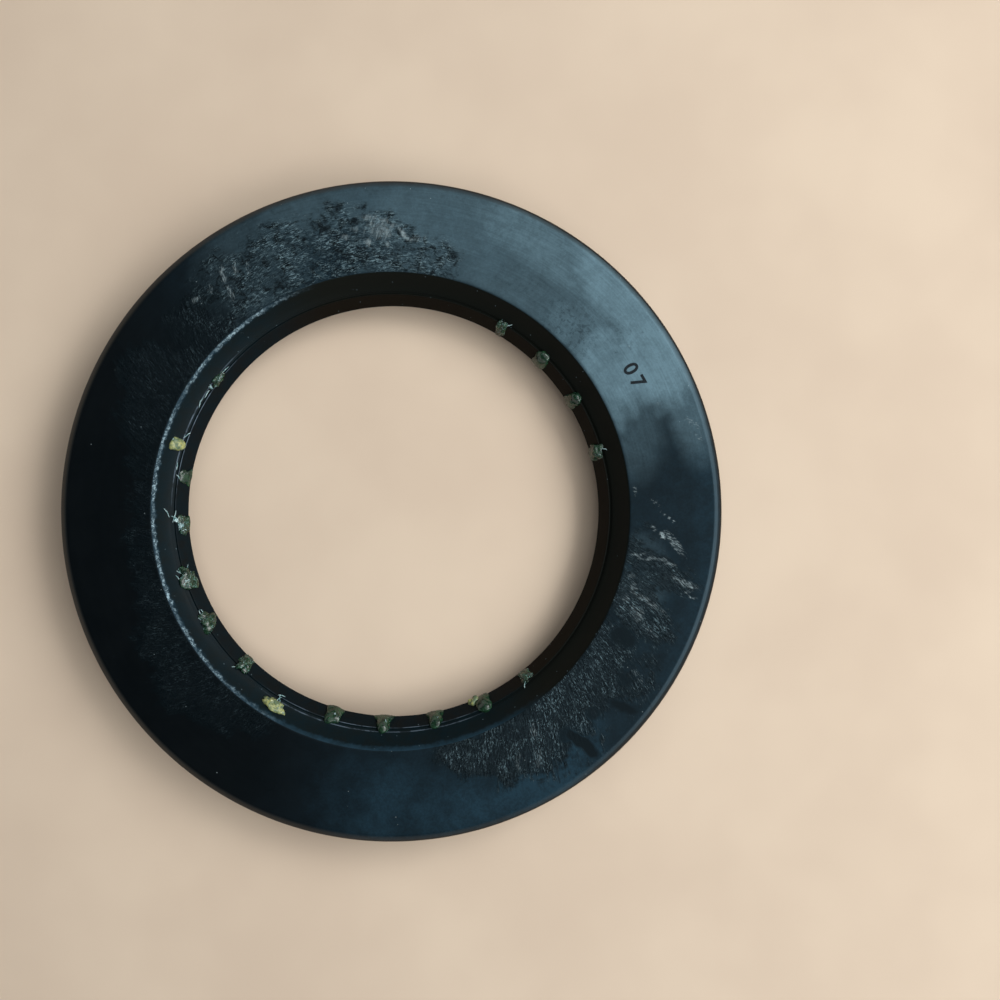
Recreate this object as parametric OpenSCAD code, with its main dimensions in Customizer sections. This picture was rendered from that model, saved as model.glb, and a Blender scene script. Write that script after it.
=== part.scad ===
// Rubber-covered radial shaft seal for a wheel hub, air side up.
// The origin is the centre of the shaft axis at the oil-side rim, which the seal stands on.
// Every ring is one section turned about Z, so the sections below are drawn as radius and height.

/* [Seal] */
// Outside diameter, pressed into the hub
outer_d = 140; // [136:1:150]
// Free diameter over the sealing edge, a little under the shaft's 90
lip_d = 88.6; // [87:0.2:89.6]
// Width from the oil-side rim to the air-side face
seal_w = 13; // [12:0.5:16]

/* [Steel case] */
// Sheet thickness of the pressed case
case_t = 1.5; // [1:0.1:1.8]
// How far the case's flange stays back from the edge of the recess
flange_inset = 1.3; // [0.8:0.1:2.4]
// Outside radius of the bend between wall and flange
case_bend_r = 2.2; // [2:0.1:3]

/* [Rubber cover] */
// Rubber over the case's cylindrical wall
wall_cover = 1.2; // [0.8:0.1:1.8]
// Rubber over the case's flange, on the air side
face_cover = 1.3; // [0.9:0.1:1.8]
// Rubber below the end of the case's wall
rim_cover = 0.8; // [0.4:0.1:1.4]
// Rubber turned in on the inner side of the case's wall
rim_skin = 0.4; // [0.2:0.1:0.8]
// Height of that turned-in rubber
rim_skin_h = 1.6; // [1.5:0.1:3]
// Reach of the rubber folded under the flange, from the hole's edge
fold_w = 2; // [1.7:0.1:2.6]

/* [Outer edges] */
// Radial width of the bevel at the air-side face
bevel_w = 1.15; // [0.6:0.05:1.6]
// Height of that bevel
bevel_h = 1.5; // [0.8:0.1:2.4]
// Radial width of the lead-in at the oil-side rim
lead_w = 0.7; // [0.3:0.1:1.2]
// Height of that lead-in
lead_h = 1.8; // [1:0.1:3]

/* [Recess] */
// Radial width of the recess, from the sealing edge to where the flat face ends
recess_w = 6.4; // [5.8:0.1:8]
// Radius of the rounded edge there
recess_round = 0.9; // [0.4:0.1:1.2]
// Angle that the rounded edge turns before the wall starts
recess_turn = 50; // [44:1:56]
// Height of the wall's bend above its foot
bend_rise = 0.25; // [0.1:0.05:0.6]

/* [Sealing lip] */
// Depth of the sealing edge below the face
lip_depth = 6.4; // [6:0.1:6.8]
// Width of the contact land at the sealing edge
lip_land = 0.3; // [0.2:0.05:0.5]
// Height of the air-side lip band above the land
band_h = 2.7; // [2.4:0.1:2.9]
// Angle of the air-side band from the shaft axis
air_angle = 37; // [32:1:40]
// Angle of the oil-side cone from the shaft axis
oil_angle = 45; // [40:1:48]
// Height of the lip head below the sealing edge
head_drop = 4; // [3.4:0.1:4.2]
// Radius of the head's outer bottom corner
head_round = 0.6; // [0.3:0.1:0.7]
// Radial width of the relief groove above the band
relief_w = 0.65; // [0.4:0.05:0.9]
// Height that the wall gains over that groove
relief_rise = 0.35; // [0.2:0.05:0.5]
// Depth of the relief groove
relief_t = 0.4; // [0.2:0.05:0.5]

/* [Garter spring] */
// Outside diameter of the coil
spring_d = 2.8; // [2.4:0.1:3]
// Rubber between the sealing edge and the spring's seat
lip_wall = 3; // [2.8:0.1:3.2]
// Offset of the spring from the sealing edge, towards the air side
spring_lead = 0.4; // [0.1:0.1:0.6]
// Gap between the spring and its groove
spring_gap = 0.05; // [0.02:0.01:0.1]
// Gap between the spring and the flex section above it
flex_gap = 0.2; // [0.15:0.05:0.4]
// Angle below the coil's centre at which the head's nose ends and keeps the spring in
nose_angle = 60; // [50:1:64]
// Angle above the coil's centre at which the flex section leaves the groove
mouth_angle = 70; // [60:1:76]

/* [Grease] */
// Places for dots round the lip
dot_count = 26; // [20:1:28]
// Width of a dot at its broad end
dot_w = 4; // [3:0.1:4.4]
// Height of a dot at its broad end
dot_h = 0.95; // [0.6:0.05:1.2]
// Radius of a dot's narrow end, which lies on the foot of the recess wall
dot_tip_r = 0.8; // [0.7:0.05:0.9]
// How far out from the wall's foot the centre of the narrow end lies
dot_tip_out = 0.5; // [0.3:0.05:0.8]
// How deep that centre lies under the wall's foot
dot_tip_sink = 0.2; // [0.1:0.05:0.4]
// Gap between the dots and the shaft line at the sealing edge
dot_clear = 0.15; // [0.1:0.05:0.4]
// Azimuth of the first dot
dot_start = -65; // [-90:1:-40]
// Radius of a lump on the recess wall
lump_r = 2.2; // [1.8:0.1:2.6]
// How deep the centre of a lump lies under the bend of that wall
lump_sink = 0.6; // [0.3:0.1:0.8]

/* [Hidden] */
$fn = 180;
arc_steps = 8;

outer_r = outer_d / 2;
lip_r = lip_d / 2;
recess_r = lip_r + recess_w;

case_or = outer_r - wall_cover;
case_ir = case_or - case_t;
case_bore_r = recess_r + flange_inset;
flange_top = seal_w - face_cover;
flange_under = flange_top - case_t;

edge_z = seal_w - lip_depth;
land_top = edge_z + lip_land / 2;
land_low = edge_z - lip_land / 2;
head_low = edge_z - head_drop;

spring_r = spring_d / 2;
groove_r = spring_r + spring_gap;
spring_ring_r = lip_r + lip_wall + groove_r;
spring_z = edge_z + spring_lead;
head_or = spring_ring_r + groove_r * cos(nose_angle);

// Directions in the section: up along the band, and from the band into the rubber
along_band = [sin(air_angle), cos(air_angle)];
into_band = [cos(air_angle), -sin(air_angle)];

band_foot = [lip_r, land_top];
band_top = [lip_r + band_h * tan(air_angle), land_top + band_h];
wall_foot = band_top + [relief_w, relief_rise];

// The dots' ends are balls sunk in the band, and these are the balls' sizes and centres
ball_r = (pow(dot_w / 2, 2) + pow(dot_h, 2)) / (2 * dot_h);
ball_sink = ball_r - dot_h;
ball_s = (dot_clear + ball_r - ball_sink * cos(air_angle)) / sin(air_angle);
ball_at = band_foot + ball_s * along_band + ball_sink * into_band;
tip_at = wall_foot + [dot_tip_out, -dot_tip_sink];

// Places along the ring, counted from the first dot, where the grease is wiped off
wiped_places = [4, 10, 12, 13, 14, 15, 16, 21, 22, 23, 24];
// Azimuth of each lump, and its size as a share of lump_r
lumps = [[-121.6, 1], [-197.5, 0.85]];

function arc(at, r, from, to) =
    [for (i = [0 : arc_steps]) let (a = from + (to - from) * i / arc_steps)
        at + r * [cos(a), sin(a)]];

function curve(a, b, c) =
    [for (i = [0 : arc_steps]) let (t = i / arc_steps)
        (1 - t) * (1 - t) * a + 2 * t * (1 - t) * b + t * t * c];

// Centre of the rounded edge at the recess, and the wall's control point below it
round_at = [recess_r, seal_w - recess_round];
wall_head = round_at + recess_round * [cos(90 + recess_turn), sin(90 + recess_turn)];
bend_drop = wall_head[1] - wall_foot[1] - bend_rise;
wall_bend = wall_head - [bend_drop / tan(recess_turn), bend_drop];

// Air side of the rubber, from the sealing edge up the band, over the relief groove and the recess wall
// to the flat face
air_side = concat(
    [band_foot, band_top, band_top + relief_t * into_band, wall_foot + relief_t * into_band],
    curve(wall_foot, wall_bend, wall_head),
    arc(round_at, recess_round, 90 + recess_turn, 90)
);

// Outside of the rubber, from the face over the bevel and the lead-in to the turned-in rim
outside = [
    [outer_r - bevel_w, seal_w],
    [outer_r, seal_w - bevel_h],
    [outer_r, lead_h],
    [outer_r - lead_w, 0],
    [case_ir - rim_skin, 0],
    [case_ir - rim_skin, rim_skin_h]
];

// Line through the steel sheet, which the case's own section then cuts away
in_steel = [
    [case_or - case_t / 2, rim_skin_h],
    [case_or - case_t / 2, flange_under + case_t / 2],
    [case_bore_r + fold_w, flange_under + case_t / 2]
];

// Oil side of the rubber, from the fold under the flange along the flex section and round the head
fold_low = spring_z + spring_r + flex_gap;
fold_t = flange_under - fold_low;
fold_at = [case_bore_r + fold_w - fold_t, flange_under];
oil_side = concat(
    arc(fold_at, fold_t, 0, -90),
    curve([fold_at[0], fold_low], [spring_ring_r + spring_r, fold_low],
        [spring_ring_r, spring_z + groove_r * sin(mouth_angle)]),
    [[spring_ring_r, spring_z], [head_or, spring_z]],
    arc([head_or - head_round, head_low + head_round], head_round, 0, -90),
    [[lip_r + (land_low - head_low) * tan(oil_angle), head_low], [lip_r, land_low]]
);

module case_section() {
    bend_at = [case_or - case_bend_r, flange_top - case_bend_r];
    translate([case_ir, rim_cover]) square([case_t, bend_at[1] - rim_cover]);
    translate([case_bore_r, flange_under]) square([bend_at[0] - case_bore_r, case_t]);
    intersection() {
        translate(bend_at) square(case_bend_r);
        difference() {
            translate(bend_at) circle(case_bend_r);
            translate(bend_at) circle(case_bend_r - case_t);
        }
    }
}

module rubber_section() {
    difference() {
        polygon(concat(air_side, outside, in_steel, oil_side));
        case_section();
        translate([spring_ring_r, spring_z]) circle(groove_r);
    }
}

// Everything under the air side of the lip, which grease can't fill
module under_air_side() {
    base = [[recess_r + case_t, seal_w], [recess_r + case_t, head_low], [lip_r, head_low]];
    rotate_extrude() polygon(concat(air_side, base));
}

// Two balls and the cone that touches both, along Z
module teardrop(r1, r2, gap) {
    touch = acos((r1 - r2) / gap);
    sphere(r1);
    translate([0, 0, gap]) sphere(r2);
    translate([0, 0, r1 * cos(touch)])
        cylinder(r1 = r1 * sin(touch), r2 = r2 * sin(touch), h = gap - (r1 - r2) * cos(touch));
}

module rubber_body() {
    color([0.10, 0.12, 0.15]) rotate_extrude() rubber_section();
}

module steel_case() {
    color([0.42, 0.43, 0.44]) rotate_extrude() case_section();
}

// Envelope of the close-wound coil, joined end to end
module garter_spring() {
    color([0.62, 0.63, 0.65])
        rotate_extrude() translate([spring_ring_r, spring_z]) circle(spring_r);
}

module grease_dots() {
    lie = tip_at - ball_at;
    color([0.30, 0.42, 0.32])
        difference() {
            for (k = [0 : dot_count - 1])
                if (len([for (w = wiped_places) if (w == k) w]) == 0)
                    rotate([0, 0, dot_start - k * 360 / dot_count])
                        translate([ball_at[0], 0, ball_at[1]])
                            rotate([0, atan2(lie[0], lie[1]), 0])
                                teardrop(ball_r, dot_tip_r, norm(lie));
            under_air_side();
        }
}

module grease_lumps() {
    color([0.62, 0.62, 0.36])
        difference() {
            for (lump = lumps)
                rotate([0, 0, lump[0]])
                    translate([wall_bend[0], 0, wall_bend[1] - lump_sink])
                        sphere(lump_r * lump[1]);
            under_air_side();
        }
}

rubber_body();
steel_case();
garter_spring();
grease_dots();
grease_lumps();
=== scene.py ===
# Looks of the wheel hub oil seal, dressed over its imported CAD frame.
# Sizes in the dictionaries are in millimetres and degrees, and mm turns them into metres.
import math

import bmesh
import bpy
from mathutils import Matrix, Vector, noise


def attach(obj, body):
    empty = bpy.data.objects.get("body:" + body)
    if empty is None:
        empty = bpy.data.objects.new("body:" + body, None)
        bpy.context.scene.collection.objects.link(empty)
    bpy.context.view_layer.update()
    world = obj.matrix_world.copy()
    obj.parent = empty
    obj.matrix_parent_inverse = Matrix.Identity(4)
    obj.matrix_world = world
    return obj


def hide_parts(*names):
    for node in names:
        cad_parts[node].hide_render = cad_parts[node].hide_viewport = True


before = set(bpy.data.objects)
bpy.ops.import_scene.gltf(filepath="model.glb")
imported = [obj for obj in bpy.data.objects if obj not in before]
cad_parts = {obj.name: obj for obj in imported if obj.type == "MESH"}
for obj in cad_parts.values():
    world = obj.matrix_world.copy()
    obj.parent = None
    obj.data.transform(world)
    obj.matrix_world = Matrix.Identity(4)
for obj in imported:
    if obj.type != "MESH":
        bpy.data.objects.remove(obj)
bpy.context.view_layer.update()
scene = bpy.context.scene
mm = 0.001
print("frame loaded")


# Sizes that the frame gives: inner and outer radius, lowest and highest point of a node

def ringSizes(node):
    places = [v.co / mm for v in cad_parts[node].data.vertices]
    radii = [math.hypot(p.x, p.y) for p in places]
    heights = [p.z for p in places]
    return min(radii), max(radii), min(heights), max(heights)


lipR, outerR, rimZ, faceZ = ringSizes("rubber_body")
holeR, caseR, caseLow, caseTop = ringSizes("steel_case")
coilInR, coilOutR, coilLow, coilTop = ringSizes("garter_spring")
coilR = (coilOutR - coilInR) / 2
coilRingR = coilInR + coilR
coilZ = (coilLow + coilTop) / 2


# Section of the rubber, as radius and height

rubber = {
    "turnSteps": 540,
    "faceRows": 46,
    "lookBorder": 0.3,     # the lip's material starts this far inside the face's inner edge
    "sheet": 1.5,          # steel that it is moulded round
    "bevelWidth": 1.7,
    "bevelHeight": 1.5,
    "bevelRound": 0.55,
    "leadWidth": 0.7,
    "leadHeight": 1.8,
    "leadRound": 0.3,
    "recessWidth": 6.4,
    "recessRound": 0.9,
    "recessTurn": 50,
    "bendRise": 0.25,
    "lipDepth": 6.4,
    "land": 0.3,
    "bandHeight": 2.7,
    "airAngle": 37,
    "oilAngle": 45,
    "headDrop": 4,
    "headRound": 0.6,
    "reliefWidth": 0.65,
    "reliefRise": 0.35,
    "reliefDepth": 0.4,
    "reliefRound": 0.13,
    "grooveGap": 0.05,
    "mouthAngle": 78,
    "noseAngle": 60,
    "flexGap": 0.2,
    "foldWidth": 2,
    "rimSkin": 0.4,
    "rimSkinHeight": 1.6,
    "caseBend": 2.2,
}


def arc(centre, radius, start, end, steps):
    turns = [math.radians(start + (end - start) * i / steps) for i in range(steps + 1)]
    return [(centre[0] + radius * math.cos(t), centre[1] + radius * math.sin(t)) for t in turns]


def curve(a, b, c, steps):
    points = []
    for i in range(steps + 1):
        t = i / steps
        points.append(tuple((1 - t) ** 2 * a[k] + 2 * t * (1 - t) * b[k] + t * t * c[k] for k in (0, 1)))
    return points


def rows(a, b, count):
    return [tuple(a[k] + (b[k] - a[k]) * i / count for k in (0, 1)) for i in range(1, count)]


airTurn = math.radians(rubber["airAngle"])
edgeZ = faceZ - rubber["lipDepth"]
bandFoot = (lipR, edgeZ + rubber["land"] / 2)
bandTop = (lipR + rubber["bandHeight"] * math.tan(airTurn), bandFoot[1] + rubber["bandHeight"])
wallFoot = (bandTop[0] + rubber["reliefWidth"], bandTop[1] + rubber["reliefRise"])
recessR = lipR + rubber["recessWidth"]
roundAt = (recessR, faceZ - rubber["recessRound"])
wallHead = arc(roundAt, rubber["recessRound"], 90 + rubber["recessTurn"], 90, 1)[0]
bendDrop = wallHead[1] - wallFoot[1] - rubber["bendRise"]
wallBend = (wallHead[0] - bendDrop / math.tan(math.radians(rubber["recessTurn"])), wallHead[1] - bendDrop)
wall = curve(wallFoot, wallBend, wallHead, 16)
roundedEdge = arc(roundAt, rubber["recessRound"], 90 + rubber["recessTurn"], 90, 10)


def airSide():
    deep = (rubber["reliefDepth"] * math.cos(airTurn), -rubber["reliefDepth"] * math.sin(airTurn))
    groove = [(r + deep[0], z + deep[1]) for r, z in (bandTop, wallFoot)]
    bevelTop = (outerR - rubber["bevelWidth"], faceZ)
    return ([bandFoot] + rows(bandFoot, bandTop, 8) + [bandTop] + groove + wall + roundedEdge[1:]
            + rows(roundedEdge[-1], bevelTop, rubber["faceRows"]) + [bevelTop])


def outside():
    caseInR = caseR - rubber["sheet"]
    skinR = caseInR - rubber["rimSkin"]
    bevelFoot = (outerR, faceZ - rubber["bevelHeight"])
    leadTop = (outerR, rimZ + rubber["leadHeight"])
    return ([bevelFoot] + rows(bevelFoot, leadTop, 6) + [leadTop, (outerR - rubber["leadWidth"], rimZ),
            (skinR, rimZ), (skinR, rubber["rimSkinHeight"]), (caseInR, rubber["rimSkinHeight"])])


def roundTheSteel():
    bendAt = (caseR - rubber["caseBend"], caseTop - rubber["caseBend"])
    under = caseTop - rubber["sheet"]
    return ([(caseR - rubber["sheet"], caseLow), (caseR, caseLow)]
            + arc(bendAt, rubber["caseBend"], 0, 90, 6)
            + [(holeR, caseTop), (holeR, under), (holeR + rubber["foldWidth"], under)])


def oilSide():
    grooveR = coilR + rubber["grooveGap"]
    foldLow = coilZ + coilR + rubber["flexGap"]
    foldR = caseTop - rubber["sheet"] - foldLow
    foldAt = (holeR + rubber["foldWidth"] - foldR, foldLow + foldR)
    groove = arc((coilRingR, coilZ), grooveR, rubber["mouthAngle"], 360 - rubber["noseAngle"], 18)
    headR = groove[-1][0]
    headLow = edgeZ - rubber["headDrop"]
    headAt = (headR - rubber["headRound"], headLow + rubber["headRound"])
    landLow = (lipR, edgeZ - rubber["land"] / 2)
    heel = (lipR + (landLow[1] - headLow) * math.tan(math.radians(rubber["oilAngle"])), headLow)
    flex = curve((foldAt[0], foldLow), (coilRingR + coilR, foldLow), groove[0], 8)
    return (arc(foldAt, foldR, 0, -90, 8)[1:] + flex[1:] + groove[1:]
            + arc(headAt, rubber["headRound"], 0, -90, 6) + [heel] + rows(heel, landLow, 5) + [landLow])


# Grease on the air side, as the hand and the nozzle left it. Azimuth runs anticlockwise from +X.
# A patch: azimuth, radius, half length along the ring, half width, strength, and its slant.

film = {
    "seed": 7,                    # noise_vector starts from the clock unless it gets a seed
    "relief": 0.05,               # how far a wrinkle stands up
    "reliefScale": 0.5,
    "ragged": 1.7,                # how far borders stray, in wide and in fine waves
    "raggedScale": 0.32,
    "frayed": 0.4,
    "frayedScale": 1.3,
    "faceIn": (1.2, 0.1),         # the film starts this far inside the face's inner edge
    "faceOut": (1.5, 1.1),        # and ends this far inside the outside radius
    "dryIn": (0.6, -0.4),
    "dryOut": (1.7, 0.9),
    "dryOnRim": 0.15,
    "borders": {
        # how soft a layer's border is, and its shares of the stray in degrees and in millimetres
        "wiped": (0.3, 0.3, 0.2),
        "smeared": (0.8, 0.2, 0.15),
        "scratched": (0.6, 0.1, 0.1),
        "dry": (0.5, 1.0, 0.5),
        "oily": (0.8, 1.0, 0.5),
        "bevelLit": (0.9, 0.0, 0.0),
        "spotted": (0.7, 0.0, 0.0),
    },
    "wrinkledSoft": 0.6,
    "wrinkled": [
        (-12, 57.5, 4.2, 11, 0.66, -0.3), (-16.5, 54, 3.4, 5, 0.70, -0.3), (-21.5, 56, 5.0, 10, 1.0, -0.3),
        (-31, 54, 6, 6.5, 0.70, 0), (-40, 55, 7, 8, 0.95, 0), (-49, 55.5, 8, 8, 1.0, 0),
        (-58, 57, 8, 8.4, 1.0, 0), (-65, 56, 6, 7.6, 1.0, 0), (-72.5, 53.8, 6.5, 5.6, 0.9, 0.6),
        (-34, 63, 9, 5, 0.40, 0), (-52, 65, 10, 4, 0.25, 0), (-6, 54, 4, 6, 0.25, 0),
        (-124, 52.5, 6, 4, 0.55, 0), (-131, 54.5, 7, 6.5, 0.8, 0), (-140, 56, 8, 7.5, 0.85, 0),
        (-150, 55, 8, 6.5, 0.75, 0), (-160, 53, 9, 5, 0.6, 0), (-172, 52.5, 9, 4.4, 0.52, 0),
        (177, 52.3, 7, 3.8, 0.48, 0), (168, 53, 7, 4.4, 0.5, 0), (158, 55, 8, 7.5, 0.68, 0),
        (150, 57.5, 8, 9, 0.75, 0), (144, 53, 8, 5.5, 0.65, 0), (135, 56, 9, 8, 0.8, 0),
        (125, 58, 10, 8.3, 0.95, 0), (113, 58, 11, 8.6, 1.0, 0), (101, 57.8, 10, 8.4, 1.0, 0),
        (91, 56.3, 8, 7.5, 0.95, 0), (82, 54, 8.5, 5.2, 0.8, 0),
    ],
    "wiped": [
        (-40, 63.8, 1.1, 3.2, 1.1, 0.2), (-50.4, 63.2, 1.25, 4.8, 1.3, 0.15), (-52, 59.6, 2.2, 1.7, 0.8, 0),
        (-45.2, 60, 1.7, 1.8, 0.9, 0), (-28.5, 55.5, 2.3, 3.4, 0.9, 0), (130.5, 55.5, 2.8, 2.6, 0.5, 0),
        (140, 58, 3.0, 3.4, 0.6, 0), (-36, 60.5, 1.6, 2.2, 0.7, 0), (-22, 58.5, 1.4, 2.0, 0.6, 0),
    ],
    "smeared": [
        (92.6, 59.2, 3.6, 2.8, 0.40, 0.3), (94.2, 61.9, 1.9, 0.9, 0.55, 0),
        (91.6, 61.2, 1.6, 0.8, 0.46, 0), (89.6, 60.1, 1.5, 0.8, 0.46, 0),
        (94.7, 56.8, 0.8, 1.1, 0.80, 0), (90.5, 58.6, 0.8, 1.2, 0.60, -0.3),
        (90.9, 56.2, 0.5, 0.9, 0.66, 0), (87.4, 58.4, 0.75, 1.4, 0.85, 0.6),
        (86.0, 57.2, 0.9, 0.6, 0.50, 0), (99.3, 58.4, 0.8, 0.8, 0.52, 0),
        (84.0, 57.6, 2.6, 1.2, 0.26, 0), (97.2, 59.8, 1.6, 0.8, 0.32, 0), (-15, 52.4, 1.6, 1.0, 0.22, 0),
    ],
    "scratched": [
        (125.2, 61.0, 0.7, 2.4, 0.62, -0.4), (122.6, 60.6, 0.6, 2.0, 0.62, -0.5),
        (126.2, 57, 0.6, 2.2, 0.58, -0.2), (120.4, 59, 0.5, 2.2, 0.5, -0.3),
        (129, 60, 0.6, 1.5, 0.45, -0.3), (132.5, 60.4, 1.2, 0.9, 0.45, 0),
        (-5.0, 57.3, 0.7, 0.8, 0.9, -0.8), (-6.4, 60.2, 1.5, 3.2, 0.52, -0.85),
        (-3.6, 55.4, 0.6, 0.8, 0.55, -0.8), (-1.2, 58.4, 0.3, 2.6, 0.55, -0.7),
        (-10.2, 57.6, 0.5, 4.4, 0.62, -0.2),
        (-13.7, 63.8, 1.0, 4.0, 0.52, -0.25), (-10.4, 53.5, 0.5, 3.4, 0.5, -0.25),
        (-19.4, 57.5, 0.8, 5.4, 0.47, -0.25), (-15.8, 65.6, 0.5, 2.4, 0.50, -0.4),
        (-22.5, 56, 1.8, 2.2, 0.43, -0.3), (-25, 60.5, 0.5, 3.2, 0.44, -0.4),
        (-33.5, 62, 0.4, 2.4, 0.45, -0.3), (16.4, 66.2, 0.8, 1.8, 0.5, -1.0),
        (13.6, 66.4, 0.6, 1.4, 0.48, -1.0), (21.8, 60.7, 0.5, 0.6, 0.5, -0.6),
        (2.2, 55.6, 0.5, 1.5, 0.52, -0.8), (5, 51.6, 1.6, 0.5, 0.42, 0), (-59, 60.4, 1.2, 2.6, 0.40, -0.5),
        (-63, 59, 0.8, 3.0, 0.40, -0.5), (-17.4, 53.6, 1.4, 1.2, 0.42, -0.3),
        (-20.2, 52.6, 1.2, 1.2, 0.42, -0.3), (-57, 55, 1.2, 2.0, 0.42, -0.4),
    ],
    # Dry patches; on the face the pale bloom laid there carries a painted sheen of the lamps' light
    "dry": [
        (98, 66, 25, 7, 0.28, 0), (78, 63, 24, 11, 0.42, 0), (78, 52, 20, 6, 0.30, 0),
        (58, 66, 23, 9, 0.66, 0), (58, 55, 20, 10, 0.40, 0), (44, 67, 16, 8, 0.96, 0),
        (42, 55, 13, 9, 0.54, 0), (30, 65, 12, 11, 1.04, 0), (33, 56, 12, 8, 0.88, 0),
        (29, 51.5, 10, 4, 0.70, 0), (22, 66.5, 15, 6, 0.40, 0), (22, 52.5, 14, 9, 0.24, 0),
        (118, 60, 14, 12, 0.16, 0), (-9, 54, 4, 5, 0.12, 0), (-17, 55, 5, 6, 0.12, 0),
    ],
    # A painted highlight along the bevel's corner, on the side towards the lamps
    "bevelLit": [(-4, 69, 62, 9, 0.36, 0), (25, 69, 12, 9, 0.55, 0)],
    "spotted": [(46, 54, 8, 6, 1.0, 0), (38, 61, 6, 5, 0.5, 0), (60, 56, 8, 6, 0.45, 0)],
    # Where painted highlights line the relief groove's shoulders
    "lined": [(-106, 51, 16, 9, 0.8, 0), (156, 51, 19, 9, 1.0, 0), (-80, 51, 12, 9, 0.8, 0)],
    "oilBase": 0.27,              # share of oil all over the side, whose blue is partly a painted reflection of the lamps
    # Pools of oil; the blue they add is partly a painted reflection of the lamps
    "oily": [
        (4, 68.5, 64, 7, 0.52, 0), (-60, 65, 18, 8, 1.10, 0), (-50, 61, 8, 4, 0.80, 0),
        (-78, 64, 16, 9, 0.85, 0), (-94, 62, 18, 14, 0.70, 0), (92, 60, 44, 16, 0.55, 0),
        (-12, 52.5, 6, 3, 0.45, 0),
    ],
    # Stretches of the ring: middle, half length and fade
    # The oil's blue, partly a painted reflection of the lamps, lies on this stretch
    "oilSheen": (14, 117, 20),
    "edgeGrease": (-184, 59, 9),      # smeared grease on the rounded edge, painted pale partly as a highlight on the side towards the lamps
    "wetSheen": (-150, 92, 12),            # the recess is wet with oil, and painted blue there, partly as a reflection of the lamps
    "streaky": (90, 42.5, 17.5),      # wrinkles run along the ring
    # Where the painted glints on the wrinkles are brightest, on the sides towards the lamps
    "glintStretches": [(-45, 37.5, 17.5), (98, 35, 15)],
    "glintBase": 0.16,
    "linedSoft": 0.5,
    "linedBelow": 0.8,                # how far below the band's top the painted shoulder highlights reach
}


def ringGap(a, b):
    return (a - b + 180) % 360 - 180


def smooth(low, high, x):
    t = min(1, max(0, (x - low) / (high - low)))
    return t * t * (3 - 2 * t)


# 1 in a stretch of the ring, and 0 outside it

def inStretch(azimuth, middle, reach, fade):
    return 1 - smooth(reach - fade, reach + fade, abs(ringGap(azimuth, middle)))


def patchWeight(azimuth, radius, patches, soft):
    weight = 0
    for middle, patchR, halfLength, halfWidth, strength, slant in patches:
        across = radius - patchR
        if abs(across) > halfWidth * 1.3:
            continue
        along = math.radians(ringGap(azimuth, middle)) * radius - slant * across
        reach = math.hypot(along / halfLength, across / halfWidth)
        weight = max(weight, strength * (1 - smooth(1 - soft, 1 + soft * 0.5, reach)))
    return weight


# How wrinkled, wiped, smeared and scratched the grease is at a place on the face, how dry, oiled and
# spotted the rubber, whose bloom and oil carry painted sheen, where a painted highlight lines the bevel,
# and how bright the painted glints are

def greaseAt(place):
    stray = noise.noise_vector(place * film["raggedScale"]) * film["ragged"]
    stray += noise.noise_vector(place * film["frayedScale"]) * film["frayed"]
    radius = math.hypot(place.x, place.y)
    azimuth = math.degrees(math.atan2(place.y, place.x))
    roughAzimuth = azimuth + math.degrees(stray.y / radius)
    wrinkled = patchWeight(roughAzimuth, radius + stray.x, film["wrinkled"], film["wrinkledSoft"])
    values = {"wrinkled": wrinkled}
    for name, (soft, turned, moved) in film["borders"].items():
        values[name] = patchWeight(azimuth + stray.y * turned, radius + stray.x * moved, film[name], soft)

    innerFar, innerNear = (recessR - gap for gap in film["faceIn"])
    outerFar, outerNear = (outerR - gap for gap in film["faceOut"])
    onFace = smooth(innerFar, innerNear, radius) * (1 - smooth(outerFar, outerNear, radius))
    for name in ("wrinkled", "wiped", "smeared", "scratched"):
        values[name] *= onFace
    dryFrom, dryAll = (recessR - gap for gap in film["dryIn"])
    fadeFrom, fadeTo = (outerR - gap for gap in film["dryOut"])
    values["dry"] *= 1 - (1 - film["dryOnRim"]) * smooth(fadeFrom, fadeTo, radius)
    values["dry"] *= smooth(dryFrom, dryAll, radius)

    pooled = values.pop("oily")
    values["oilSheen"] = inStretch(roughAzimuth, *film["oilSheen"]) * max(film["oilBase"], pooled)
    values["edgeGrease"] = inStretch(azimuth, *film["edgeGrease"])
    values["streaky"] = inStretch(azimuth, *film["streaky"])
    paintedGlintShare = max(inStretch(azimuth, *stretch) for stretch in film["glintStretches"])
    values["paintedGlintShare"] = film["glintBase"] + (1 - film["glintBase"]) * paintedGlintShare
    return values


# Mesh helpers. The first turns a bmesh into an object that rides on the seal.

def asObject(bm, name, material, stands=None, sharp=None):
    bmesh.ops.recalc_face_normals(bm, faces=bm.faces)
    for face in bm.faces:
        face.smooth = True
    mesh = bpy.data.meshes.new(name)
    bm.to_mesh(mesh)
    bm.free()
    if sharp:
        mesh.set_sharp_from_angle(angle=math.radians(sharp))
    mesh.materials.append(material)
    piece = bpy.data.objects.new(name, mesh)
    scene.collection.objects.link(piece)
    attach(piece, "root")
    if stands:
        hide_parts(stands)
    return piece


# The mesh of a curve or of letters

def meshOf(curveData):
    holder = bpy.data.objects.new(curveData.name, curveData)
    scene.collection.objects.link(holder)
    bpy.context.view_layer.update()
    mesh = bpy.data.meshes.new_from_object(holder.evaluated_get(bpy.context.evaluated_depsgraph_get()))
    bpy.data.objects.remove(holder)
    return mesh


# A tube along each strand of points, each with its share of the wire's thickness

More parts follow.
